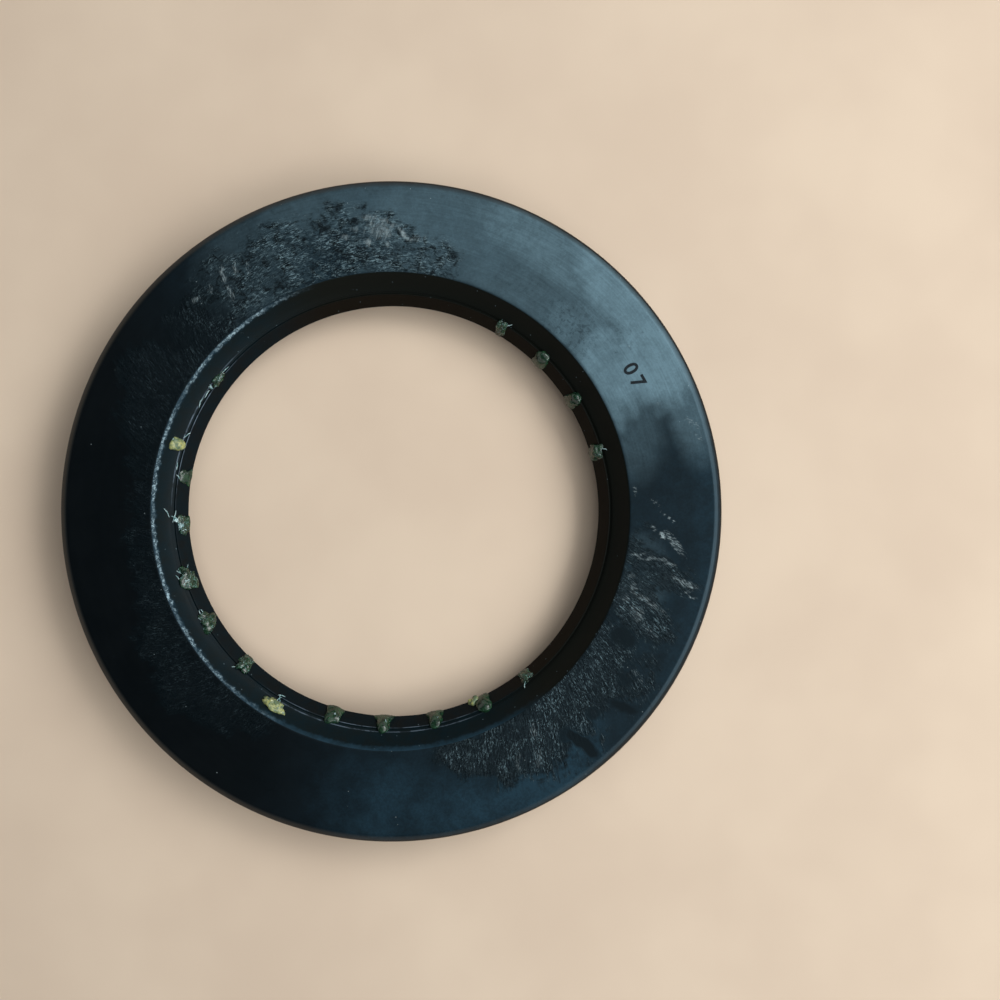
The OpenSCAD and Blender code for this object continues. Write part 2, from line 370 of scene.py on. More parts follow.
def tubes(strands, wireR, name, sides, closed=False):
    path = bpy.data.curves.new(name, "CURVE")
    path.dimensions = "3D"
    path.bevel_depth = wireR
    path.bevel_resolution = sides
    path.use_fill_caps = not closed
    for strand in strands:
        spline = path.splines.new("POLY")
        spline.points.add(len(strand) - 1)
        for point, (place, thickness) in zip(spline.points, strand):
            point.co = (*place, 1)
            point.radius = thickness
        spline.use_cyclic_u = closed
    return meshOf(path)


# Material helpers

def newMaterial(name):
    material = bpy.data.materials.new(name)
    material.use_nodes = True
    tree = material.node_tree
    shader = tree.nodes["Principled BSDF"]
    return material, tree, shader


def node(tree, kind, links=None, **settings):
    made = tree.nodes.new("ShaderNode" + kind)
    for name, value in settings.items():
        setattr(made, name, value)
    for name, value in (links or {}).items():
        if isinstance(value, bpy.types.NodeSocket):
            tree.links.new(value, made.inputs[name])
        else:
            made.inputs[name].default_value = value
    return made


def mathOf(tree, operation, a, b=0.0):
    return node(tree, "Math", {0: a, 1: b}, operation=operation).outputs[0]


def times(tree, first, *others):
    for other in others:
        first = mathOf(tree, "MULTIPLY", first, other)
    return first


def plus(tree, a, b):
    return mathOf(tree, "ADD", a, b)


def minus(tree, a, b):
    return mathOf(tree, "SUBTRACT", a, b)


def larger(tree, a, b):
    return mathOf(tree, "MAXIMUM", a, b)


def noiseOf(tree, vector, scale, detail=3.0, roughness=0.55, distortion=0.0):
    made = node(tree, "TexNoise", {"Vector": vector, "Scale": scale, "Detail": detail,
                                   "Roughness": roughness, "Distortion": distortion})
    return made.outputs["Fac"]


# Small dots scattered at the given scale, as the distance from the nearest one

def dotsOf(tree, vector, scale):
    return node(tree, "TexVoronoi", {"Vector": vector, "Scale": scale}).outputs["Distance"]


def between(tree, value, low, high, start=0.0, end=1.0):
    made = node(tree, "MapRange", {"Value": value, "From Min": low, "From Max": high,
                                   "To Min": start, "To Max": end}, interpolation_type="SMOOTHSTEP")
    return made.outputs["Result"]


# Two colours or patterns mixed, and below it two numbers

def blend(tree, share, a, b):
    made = node(tree, "Mix", data_type="RGBA")
    for index, value in ((0, share), (6, a), (7, b)):
        if isinstance(value, bpy.types.NodeSocket):
            tree.links.new(value, made.inputs[index])
        elif index:
            made.inputs[index].default_value = (*value, 1)
        else:
            made.inputs[index].default_value = value
    return made.outputs[2]


def mixed(tree, share, a, b):
    return node(tree, "Mix", {0: share, 2: a, 3: b}).outputs[0]


def bumpOf(tree, height, distance, strength=1.0, under=None):
    made = node(tree, "Bump", {"Height": height, "Distance": distance * mm, "Strength": strength})
    if under:
        tree.links.new(under, made.inputs["Normal"])
    return made.outputs["Normal"]


def connect(tree, shader, colour, roughness, normal=None):
    tree.links.new(colour, shader.inputs["Base Color"])
    tree.links.new(roughness, shader.inputs["Roughness"])
    if normal:
        tree.links.new(normal, shader.inputs["Normal"])


def setShader(shader, values):
    for name, value in values.items():
        shader.inputs[name].default_value = value


def attributeOf(tree, name):
    return node(tree, "Attribute", attribute_name=name).outputs["Fac"]


# Object coordinates in millimetres

def millimetres(tree):
    place = node(tree, "TexCoord").outputs["Object"]
    return node(tree, "Mapping", {"Vector": place, "Scale": (1 / mm, 1 / mm, 1 / mm)}).outputs["Vector"]


def radiusOf(tree, place):
    flat = node(tree, "VectorMath", {0: place, 1: (1, 1, 0)}, operation="MULTIPLY").outputs["Vector"]
    return flat, node(tree, "VectorMath", {0: flat}, operation="LENGTH").outputs["Value"]


# A vector whose steps along the ring, outwards and upwards are scaled apart, without a seam

def roundTheAxis(tree, place, aroundScale, outScale, upScale):
    flat, radius = radiusOf(tree, place)
    unit = node(tree, "VectorMath", {0: flat}, operation="NORMALIZE").outputs["Vector"]
    around = node(tree, "VectorMath", {0: unit, "Scale": aroundScale}, operation="SCALE").outputs["Vector"]
    height = node(tree, "SeparateXYZ", {"Vector": place}).outputs["Z"]
    lift = plus(tree, times(tree, radius, outScale), times(tree, height, upScale))
    tall = node(tree, "CombineXYZ", {"Z": lift}).outputs["Vector"]
    return node(tree, "VectorMath", {0: around, 1: tall}, operation="ADD").outputs["Vector"], radius


# The pattern shears round the axis, so that what runs outwards leans clockwise

def leanedBy(tree, place, turn):
    angle = times(tree, radiusOf(tree, place)[1], turn)
    turned = node(tree, "VectorRotate", {"Vector": place, "Angle": angle}, rotation_type="Z_AXIS")
    return turned.outputs["Vector"]


# How near the radius is to a ring, from 1 on it to 0 at the given half width

def nearRing(tree, radius, ringR, halfWidth):
    gap = mathOf(tree, "ABSOLUTE", minus(tree, radius, ringR))
    return between(tree, gap, halfWidth * 0.4, halfWidth, 1.0, 0.0)


# Rubber, with its dry bloom and its smeared film of grease, and painted sheen, highlights and glints on
# them

rubberLook = {
    "deep": (0.0014, 0.0019, 0.0024),
    "worn": (0.0022, 0.0029, 0.0035),
    # navy of oil, partly a painted blue reflection of the lamps
    "oilSheen": (0.0105, 0.0300, 0.0460),
    # pale dry bloom, partly bloom and partly a painted sheen of the lamps
    "bloomSheen": (0.122, 0.205, 0.248),
    # grease soaked and wiped dark, and painted shade in its creases
    "filmDark": (0.0012, 0.0026, 0.0036),
    # painted glints on the grease's wrinkles
    "paintedGlint": (0.15, 0.23, 0.26),
    "pale": (0.31, 0.39, 0.41),
    # painted highlight on the bevel's corner
    "bevelHighlight": (0.085, 0.138, 0.172),
    "tint": (0.55, 0.84, 1.0, 1),
    "specular": 0.15,
    "roughness": 0.33,
    "filmRoughness": 0.24,
    "rimRoughness": 0.34,
    "lean": 0.007,
    "bevelLineAt": 1.42,          # how far inside the outside radius the painted highlight on the bevel's corner lies
    "bevelLineWidth": 0.52,
    "wallFrom": 0.75,         # the outside wall is as deep as new from here
    "wallTo": 0.4,
    "rimFrom": 2.0,           # and the bevel's finish starts here
    "rimTo": 1.6,
}


# Patterns that the layers of the rubber's look share

def rubberPatterns(tree):
    place = millimetres(tree)
    leaned = leanedBy(tree, place, rubberLook["lean"])
    streaks, radius = roundTheAxis(tree, place, 7.0, 2.4, 2.4)
    hairs, _ = roundTheAxis(tree, leaned, 125.0, 0.50, 0.50)
    combed, _ = roundTheAxis(tree, place, 34.0, 2.2, 2.2)
    turned = attributeOf(tree, "streaky")
    pattern = {"place": place, "radius": radius, "hairs": hairs, "turned": turned}
    pattern["mottle"] = noiseOf(tree, place, 0.11, 4, 0.6)
    pattern["blotch"] = noiseOf(tree, place, 0.33, 5, 0.62, 0.6)
    pattern["streak"] = noiseOf(tree, streaks, 1.0, 4, 0.6, 0.3)
    pattern["spots"] = noiseOf(tree, place, 2.2, 3, 0.6)
    pattern["grain"] = noiseOf(tree, place, 7.0, 3, 0.6)
    pattern["swell"] = noiseOf(tree, place, 0.5, 4, 0.62, 0.6)
    # Wrinkles run outwards where a finger wiped across, and along the ring where it wiped round
    pattern["ridge"] = blend(tree, turned, noiseOf(tree, hairs, 0.7, 3, 0.6, 0.5),
                             noiseOf(tree, combed, 0.7, 3, 0.6, 0.5))
    pattern["fine"] = blend(tree, turned, noiseOf(tree, hairs, 2.0, 4, 0.7, 1.2),
                            noiseOf(tree, combed, 1.8, 4, 0.7, 1.0))
    return pattern


# Bare rubber, where oil shines blue partly by a painted reflection, a dry bloom lies pale with a painted
# sheen on it, and a painted highlight lines the bevel's corner

def bareRubber(tree, pattern):
    look = rubberLook
    mottle, blotch, streak, spots = (pattern[name] for name in ("mottle", "blotch", "streak", "spots"))
    radius = pattern["radius"]
    base = blend(tree, between(tree, mottle, 0.35, 0.7), look["deep"], look["worn"])
    clouds = times(tree, between(tree, mottle, 0.3, 0.65, 0.70, 1.1),
                   between(tree, blotch, 0.3, 0.65, 0.72, 1.15),
                   between(tree, spots, 0.3, 0.7, 0.75, 1.2))
    # The oil's navy, partly a painted reflection of the lamps
    base = blend(tree, times(tree, attributeOf(tree, "oilSheen"), clouds), base, look["oilSheen"])
    # Pale bloom on the dry patches, its brightness partly a painted sheen
    bloomAndSheen = times(tree, attributeOf(tree, "dry"), between(tree, blotch, 0.25, 0.70, 0.78, 1.04),
                 between(tree, streak, 0.25, 0.75, 0.84, 1.10),
                 between(tree, spots, 0.3, 0.7, 0.88, 1.06))
    drops = between(tree, noiseOf(tree, pattern["place"], 1.1, 4, 0.65, 0.4), 0.50, 0.62, 0.0, 0.50)
    drops = times(tree, drops, attributeOf(tree, "spotted"))
    bloomAndSheen = times(tree, bloomAndSheen, minus(tree, 1.0, drops))
    base = blend(tree, bloomAndSheen, base, look["bloomSheen"])
    # A painted highlight along the bevel's corner, where it faces the lamps
    bevelLine = nearRing(tree, radius, outerR - look["bevelLineAt"], look["bevelLineWidth"])
    base = blend(tree, times(tree, attributeOf(tree, "bevelLit"), bevelLine), base, look["bevelHighlight"])
    onWall = between(tree, radius, outerR - look["wallFrom"], outerR - look["wallTo"])
    return blend(tree, onWall, base, look["deep"])


# Grease wiped thin over the rubber, darker where it soaks in, with painted shade in its creases and painted
# glints on its wrinkles

def wipedGrease(tree, pattern, base):
    look = rubberLook
    turned, fine, swell = pattern["turned"], pattern["fine"], pattern["swell"]
    wiped = attributeOf(tree, "wiped")
    torn = plus(tree, times(tree, pattern["ridge"], 0.7), times(tree, swell, 0.9))
    reach = plus(tree, attributeOf(tree, "wrinkled"), minus(tree, torn, 0.8))
    grease = times(tree, between(tree, reach, 0.05, 0.85), minus(tree, 1.0, wiped))
    soaked = between(tree, swell, 0.44, 0.62, between(tree, turned, 0.0, 1.0, 0.84, 0.2), 0.97)
    # Painted shade in the creases between the painted glints
    creaseShade = between(tree, fine, 0.40, 0.49, between(tree, turned, 0.0, 1.0, 1.0, 0.8), 0.0)
    covered = between(tree, grease, 0.0, between(tree, turned, 0.0, 1.0, 0.6, 1.0))
    dark = larger(tree, times(tree, larger(tree, soaked, creaseShade), covered), wiped)
    base = blend(tree, mathOf(tree, "MINIMUM", dark, 1.0), base, look["filmDark"])
    # Painted glints on the wrinkles' crests
    few = between(tree, fine, 0.54, 0.67)
    many = between(tree, fine, 0.51, 0.63)
    cluster = between(tree, noiseOf(tree, pattern["place"], 0.26, 4, 0.65, 0.5), 0.41, 0.60, 0.14, 1.0)
    flecks = times(tree, mixed(tree, turned, few, many), cluster, grease, attributeOf(tree, "paintedGlintShare"))
    return blend(tree, flecks, base, look["paintedGlint"]), grease


# Pale smears where grease was pressed on, strokes where something scratched it, and specks of dust

def marksOnRubber(tree, pattern, base):
    look = rubberLook
    hairs = pattern["hairs"]
    smeared = attributeOf(tree, "smeared")
    hair = minus(tree, noiseOf(tree, hairs, 1.1, 4, 0.65, 0.6), 0.55)
    smear = between(tree, plus(tree, smeared, times(tree, hair, 1.3)), 0.05, 1.0)
    smear = times(tree, smear, between(tree, smeared, 0.02, 0.2),
                  between(tree, pattern["spots"], 0.32, 0.62, 0.5, 1.0))
    base = blend(tree, smear, base, look["pale"])
    scratched = attributeOf(tree, "scratched")
    thin = minus(tree, noiseOf(tree, hairs, 2.1, 3, 0.6, 0.3), 0.5)
    strokes = between(tree, plus(tree, scratched, times(tree, thin, 1.7)), 0.30, 1.05)
    strokes = times(tree, strokes, between(tree, scratched, 0.02, 0.2))
    base = blend(tree, strokes, base, look["pale"])
    dust = between(tree, dotsOf(tree, pattern["place"], 0.28), 0.022, 0.032, 0.55, 0.0)
    return blend(tree, dust, base, look["pale"])


def rubberMaterial():
    look = rubberLook
    material, tree, shader = newMaterial("moulded_rubber")
    pattern = rubberPatterns(tree)
    base, grease = wipedGrease(tree, pattern, bareRubber(tree, pattern))
    base = marksOnRubber(tree, pattern, base)

    streak = pattern["streak"]
    rough = between(tree, streak, 0.2, 0.8, look["roughness"] - 0.05, look["roughness"] + 0.06)
    rough = plus(tree, rough, times(tree, attributeOf(tree, "dry"), 0.10))
    rough = mixed(tree, grease, rough, look["filmRoughness"])
    onRim = between(tree, pattern["radius"], outerR - look["rimFrom"], outerR - look["rimTo"])
    rough = mixed(tree, onRim, rough, look["rimRoughness"])

    skin = bumpOf(tree, pattern["grain"], 0.006, 0.5, bumpOf(tree, streak, 0.010, 0.5))
    folds = bumpOf(tree, times(tree, minus(tree, pattern["ridge"], 0.5), grease), 0.26, 0.9, skin)
    creases = bumpOf(tree, times(tree, minus(tree, pattern["fine"], 0.5), grease), 0.12, 0.8, folds)
    connect(tree, shader, base, rough, creases)
    setShader(shader, {"Specular Tint": look["tint"], "Specular IOR Level": look["specular"]})
    return material


# The same rubber inside the rounded edge, duller, with oil and beads of grease on its left side; its
# colours there are partly painted reflections and highlights

lipLook = {
    "dry": (0.0038, 0.0052, 0.0040),
    # blue of the wet side, partly oil and partly a painted reflection of the lamps
    "wetSheen": (0.0014, 0.0078, 0.0112),
    # the band's brown is a painted reflection of the floor
    "band": (0.0044, 0.0032, 0.0016),
    "wetBandSheen": (0.0012, 0.0056, 0.0082),
    # painted blue sheen on the rounded edge
    "edge": (0.0120, 0.0340, 0.0520),
    # grease beads, partly painted highlights, and dust specks
    "pale": (0.32, 0.46, 0.53),
    "shoulderHighlight": (0.110, 0.150, 0.190),
    "specular": 0.085,
    "roughness": 0.50,
    "beadAt": 0.66,        # how far inside the face's inner edge the beads lie
    "beadWidth": 0.36,
    "shoulderIn": 0.07,    # the painted highlights on the shoulders of the relief groove, off its two corners
    "shoulderOut": 0.08,
    "shoulderWidth": 0.085,
}


# Grease in beads along the rounded edge, with a few flecks further in, painted pale partly as highlights on
# the side towards the lamps

def edgeBeads(tree, place, radius, wavy):
    clumps = noiseOf(tree, place, 1.7, 5, 0.72, 0.8)
    near = nearRing(tree, wavy, recessR - lipLook["beadAt"], lipLook["beadWidth"])
    beads = times(tree, near, between(tree, clumps, 0.45, 0.57, 0.06, 1.0))
    flecks = times(tree, between(tree, radius, recessR - 2.6, recessR - 1.4),
                   between(tree, clumps, 0.66, 0.72, 0.0, 0.6))
    patchy = between(tree, noiseOf(tree, place, 0.2, 3), 0.38, 0.60, 0.16, 1.0)
    return times(tree, larger(tree, beads, flecks), attributeOf(tree, "edgeGrease"), patchy)


def lipMaterial():
    look = lipLook
    material, tree, shader = newMaterial("lip_rubber")
    place = millimetres(tree)
    streaks, radius = roundTheAxis(tree, place, 7.0, 2.4, 2.4)
    blotch = noiseOf(tree, place, 0.33, 5, 0.62, 0.6)
    streak = noiseOf(tree, streaks, 1.0, 4, 0.6, 0.3)
    # On the wet side the wall and band are painted blue, partly oil and partly a painted reflection of the
    # lamps
    damp = times(tree, attributeOf(tree, "wetSheen"), between(tree, blotch, 0.3, 0.65, 0.55, 1.0))
    # Off the wet side the band is painted brown with a reflection of the floor
    onBand = between(tree, radius, bandTop[0] - 0.1, bandTop[0] + 0.1, 1.0, 0.0)
    base = blend(tree, onBand, blend(tree, damp, look["dry"], look["wetSheen"]),
                 blend(tree, damp, look["band"], look["wetBandSheen"]))

    # Oil gathers on the rounded edge, which wobbles to the eye; its blue line there is a painted sheen
    wobble = times(tree, minus(tree, noiseOf(tree, place, 0.9, 3), 0.5), 1.1)
    wavy = plus(tree, radius, wobble)
    atEdge = between(tree, wavy, recessR - 1.3, recessR - 0.7)
    base = blend(tree, times(tree, atEdge, damp), base, look["edge"])
    # Pale beads of grease, partly painted highlights of the edge
    beads = edgeBeads(tree, place, radius, wavy)
    base = blend(tree, beads, base, look["pale"])

    # Painted highlights on the two shoulders of the relief groove, where they catch the light
    width = look["shoulderWidth"]
    shoulders = larger(tree, nearRing(tree, radius, bandTop[0] - look["shoulderIn"], width),
                       nearRing(tree, radius, wallFoot[0] + look["shoulderOut"], width))
    shoulders = times(tree, shoulders, attributeOf(tree, "lined"),
                      between(tree, blotch, 0.38, 0.56, 0.15, 0.95))
    base = blend(tree, shoulders, base, look["shoulderHighlight"])
    specks = between(tree, dotsOf(tree, place, 0.5), 0.03, 0.06, 0.35, 0.0)
    base = blend(tree, specks, base, look["pale"])

    rough = between(tree, streak, 0.2, 0.8, look["roughness"] - 0.06, look["roughness"] + 0.06)
    rough = minus(tree, rough, times(tree, beads, 0.25))
    normal = bumpOf(tree, beads, 0.12, 0.9, bumpOf(tree, streak, 0.010, 0.5))
    connect(tree, shader, base, rough, normal)
    setShader(shader, {"Specular IOR Level": look["specular"]})
    return material


# The section with its corners rounded, turned round the axis

def turnedRubber():
    bm = bmesh.new()
    outline = airSide() + outside() + roundTheSteel() + oilSide()
    points = [bm.verts.new((r * mm, 0, z * mm)) for r, z in outline]
    for a, b in zip(points, points[1:] + points[:1]):
        bm.edges.new((a, b))

    def corner(r, z):
        return min(points, key=lambda v: math.hypot(v.co.x / mm - r, v.co.z / mm - z))

    bevelled = [corner(outerR - rubber["bevelWidth"], faceZ), corner(outerR, faceZ - rubber["bevelHeight"])]
    led = [corner(outerR, rimZ + rubber["leadHeight"]), corner(outerR - rubber["leadWidth"], rimZ)]
    relieved = [corner(*bandTop), corner(*wallFoot)]
    for corners, size in ((bevelled, rubber["bevelRound"]), (led, rubber["leadRound"]),
                          (relieved, rubber["reliefRound"])):
        bmesh.ops.bevel(bm, geom=corners, offset=size * mm, offset_type="OFFSET", segments=4,
                        profile=0.5, affect="VERTICES", material=-1)
    bmesh.ops.spin(bm, geom=bm.verts[:] + bm.edges[:], cent=(0, 0, 0), axis=(0, 0, 1), dvec=(0, 0, 0),
                   angle=math.tau, steps=rubber["turnSteps"], use_merge=True, use_duplicate=False)
    bmesh.ops.remove_doubles(bm, verts=bm.verts, dist=0.0005 * mm)
    return bm


# What the two rubber materials have to know at each place, and the wrinkles' own height

def layGrease(bm):
    names = ("wetSheen", "lined", "edgeGrease", "wrinkled", "wiped", "smeared", "scratched", "dry", "oilSheen",
             "streaky", "paintedGlintShare", "bevelLit", "spotted")
    layers = {name: bm.verts.layers.float.new(name) for name in names}
    noise.seed_set(film["seed"])
    for v in bm.verts:
        place = v.co / mm
        radius = math.hypot(place.x, place.y)
        azimuth = math.degrees(math.atan2(place.y, place.x))
        v[layers["wetSheen"]] = inStretch(azimuth, *film["wetSheen"])
        if place.z > bandTop[1] - film["linedBelow"]:
            v[layers["lined"]] = patchWeight(azimuth, radius, film["lined"], film["linedSoft"])
        if place.z < wallFoot[1] or radius < wallFoot[0]:
            continue
        values = greaseAt(place)
        for name, value in values.items():
            v[layers[name]] = value
        lump = 0.5 + 0.5 * noise.noise(place * film["reliefScale"])
        v.co.z += film["relief"] * mm * values["wrinkled"] * (1 - values["wiped"]) * lump


def rubberBody():
    bm = turnedRubber()
    layGrease(bm)
    for face in bm.faces:
        middle = face.calc_center_median() / mm
        face.material_index = int(math.hypot(middle.x, middle.y) < recessR - rubber["lookBorder"])
    body = asObject(bm, "rubberBody", rubberMaterial(), "rubber_body", 32)
    body.data.materials.append(lipMaterial())
    return body


rubberBody()
print("rubber body turned")


# Pressed steel case, which shows on the oil side

steelLook = {
    "dull": (0.265, 0.27, 0.275),
    "bright": (0.34, 0.345, 0.35),
    "drawn": (0.22, 0.225, 0.23),
    "oily": (0.18, 0.16, 0.13),
}


def steelMaterial():
    look = steelLook
    material, tree, shader = newMaterial("case_steel")
    place = millimetres(tree)
    lines = noiseOf(tree, roundTheAxis(tree, place, 5.0, 3.5, 3.5)[0], 1.0, 4, 0.6)
    cloud = noiseOf(tree, place, 0.09, 4, 0.6)
    oil = noiseOf(tree, place, 0.3, 4, 0.6, 0.7)
    base = blend(tree, between(tree, cloud, 0.3, 0.7), look["dull"], look["bright"])
    base = blend(tree, between(tree, lines, 0.3, 0.7, 0.0, 0.35), base, look["drawn"])
    base = blend(tree, between(tree, oil, 0.58, 0.75, 0.0, 0.4), base, look["oily"])
    rough = between(tree, lines, 0.25, 0.75, 0.30, 0.46)
    connect(tree, shader, base, rough, bumpOf(tree, lines, 0.012, 0.5))
    setShader(shader, {"Metallic": 1.0})
    return material


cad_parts["steel_case"].material_slots[0].material = steelMaterial()
print("steel case finished")


# Garter spring, a close-wound coil joined end to end

garter = {
    "wireR": 0.3,
    "pitch": 0.63,
    "turnPoints": 14,
    "tubeSides": 1,
    "dull": (0.42, 0.43, 0.44),
    "bright": (0.60, 0.60, 0.60),
}


def springMaterial():
    material, tree, shader = newMaterial("spring_steel")
    place = millimetres(tree)
    cloud = between(tree, noiseOf(tree, place, 0.25, 3), 0.35, 0.7)
    rough = between(tree, noiseOf(tree, place, 3.0, 2), 0.3, 0.7, 0.22, 0.36)
    connect(tree, shader, blend(tree, cloud, garter["dull"], garter["bright"]), rough)
    setShader(shader, {"Metallic": 1.0})
    return material


def garterSpring():
    turns = round(math.tau * coilRingR / garter["pitch"])
    coreR = coilR - garter["wireR"]
    count = turns * garter["turnPoints"]
    strand = []
    for i in range(count):
        along = math.tau * i / count
        turn = along * turns
        radius = (coilRingR + coreR * math.cos(turn)) * mm
        place = (radius * math.cos(along), radius * math.sin(along), (coilZ + coreR * math.sin(turn)) * mm)
        strand.append((place, 1.0))
    bm = bmesh.new()
    bm.from_mesh(tubes([strand], garter["wireR"] * mm, "coil", garter["tubeSides"], closed=True))
    return asObject(bm, "garterSpring", springMaterial(), "garter_spring")


garterSpring()
print("garter spring wound")


# Grease that lies on the air side. A place there is an azimuth, a distance from the sealing edge
# along the section, and a lift off the surface.

section = [bandFoot, bandTop] + wall[:-1] + roundedEdge


def onAirSide(azimuth, along, lift):
    left = along
    for a, b in zip(section, section[1:]):
        length = math.dist(a, b)
        if left <= length or b is section[-1]:
            break
        left -= length
    out = ((b[0] - a[0]) / length, (b[1] - a[1]) / length)
    radius = a[0] + out[0] * left - out[1] * lift
    height = a[1] + out[1] * left + out[0] * lift
    turn = math.radians(azimuth)
    return Vector((radius * math.cos(turn), radius * math.sin(turn), height)) * mm


# A drop of grease on the lip or the recess wall, broad at its foot and domed at its head

blob = {
    "lumpScale": 1.3,
    "fineScale": 4.5,
    "headSpread": 0.30,    # how much wider it grows towards its head
    "footDrop": 0.35,      # how much flatter it is at a flared foot
    "sink": 0.35,          # how deep it reaches into the rubber
    "ringR": lipR + 2,
}


def addBlob(bm, azimuth, along, length, width, height, flare, rough, fine, seed, ends=-9.0, fineness=4):
    start = len(bm.verts)
    bmesh.ops.create_icosphere(bm, subdivisions=fineness, radius=1)
    bm.verts.ensure_lookup_table()
    for v in bm.verts[start:]:
        a, b, c = v.co
        foot = max(0, -a)
        shift = Vector((a, b, c)) * blob["lumpScale"] + Vector((seed * 7.3, seed * 3.1, 0))
        swell = 1 + rough * noise.noise(shift) * 2 + fine * noise.noise(shift * blob["fineScale"])
        up = max(along + a * length * swell, ends)
        spread = width * swell * (1 + flare * foot + blob["headSpread"] * max(0, a))
        dome = height * swell * (1 - blob["footDrop"] * flare * foot)
        lift = c * (dome if c > 0 else blob["sink"])
        v.co = onAirSide(azimuth + math.degrees(b * spread / blob["ringR"]), up, lift)


dots = {
    # azimuth: along, length, width, height, flare, rough, fine
    -51.2: (1.9, 1.7, 1.2, 0.5, 0.3, 0.3, 0.25),
    -64.6: (1.9, 2.6, 1.60, 1.1, 0.6, 0.07, 0.03),
    -78.4: (1.7, 2.7, 1.45, 1.05, 1.3, 0.08, 0.04),
    -92.5: (1.6, 2.9, 1.45, 1.05, 1.8, 0.08, 0.04),
    -106.2: (1.7, 2.7, 1.65, 1.05, 0.8, 0.12, 0.06),
    -134.2: (1.9, 2.2, 1.5, 0.9, 0.3, 0.3, 0.22),
    -149.5: (2.6, 1.8, 1.7, 0.7, 0.1, 0.4, 0.25),
    -161.9: (2.6, 1.9, 1.9, 0.7, 0.1, 0.4, 0.25),
    -176.4: (1.3, 1.7, 1.8, 0.7, 0.7, 0.35, 0.20),
    170.6: (1.2, 1.9, 1.5, 0.6, 1.0, 0.15, 0.06),
    142.7: (3.6, 0.9, 1.4, 0.35, 0.0, 0.4, 0.25),
    59.4: (2.2, 2.0, 1.0, 0.7, 0.4, 0.3, 0.3),
    45.6: (1.8, 2.5, 1.6, 1.05, 0.6, 0.09, 0.04),
    31.6: (1.8, 2.5, 1.5, 1.05, 0.6, 0.10, 0.06),
    16.25: (1.9, 2.2, 1.6, 0.9, 0.7, 0.25, 0.15),
}

greenLook = {
    "clear": (0.013, 0.046, 0.021),
    "deep": (0.004, 0.017, 0.009),
    "threadHighlight": (0.24, 0.46, 0.44),
    "roughness": (0.06, 0.2),
    "fraying": 3.6,        # how soon a rough dot shows pale threads, partly painted highlights
    "lowest": 0.05,        # the dots end this far above the sealing edge
}


def greenGrease():
    look = greenLook
    material, tree, shader = newMaterial("green_grease")
    place = millimetres(tree)
    cloud = noiseOf(tree, place, 0.9, 4, 0.6, 0.4)
    base = blend(tree, between(tree, cloud, 0.35, 0.65), look["deep"], look["clear"])
    # Pale threads, partly painted highlights
    thread = times(tree, attributeOf(tree, "frayed"),
                   between(tree, noiseOf(tree, place, 2.0, 3, 0.65, 1.8), 0.58, 0.66))
    base = blend(tree, thread, base, look["threadHighlight"])
    swell = noiseOf(tree, place, 1.5, 2, 0.5, 0.4)
    rough = between(tree, cloud, 0.3, 0.7, *look["roughness"])
    connect(tree, shader, base, rough, bumpOf(tree, swell, 0.07, 0.6))
    setShader(shader, {"Specular IOR Level": 0.5, "Subsurface Weight": 0.25,
                       "Subsurface Radius": (0.6, 1.0, 0.6), "Subsurface Scale": 1.2 * mm})
    return material


def greaseDots():
    bm = bmesh.new()
    frayed = bm.verts.layers.float.new("frayed")
    for seed, (azimuth, shape) in enumerate(dots.items()):
        start = len(bm.verts)
        addBlob(bm, azimuth, *shape, seed, greenLook["lowest"])
        bm.verts.ensure_lookup_table()
        for v in bm.verts[start:]:
            v[frayed] = min(1, shape[-1] * greenLook["fraying"])
    return asObject(bm, "greaseDots", greenGrease(), "grease_dots")


greaseDots()

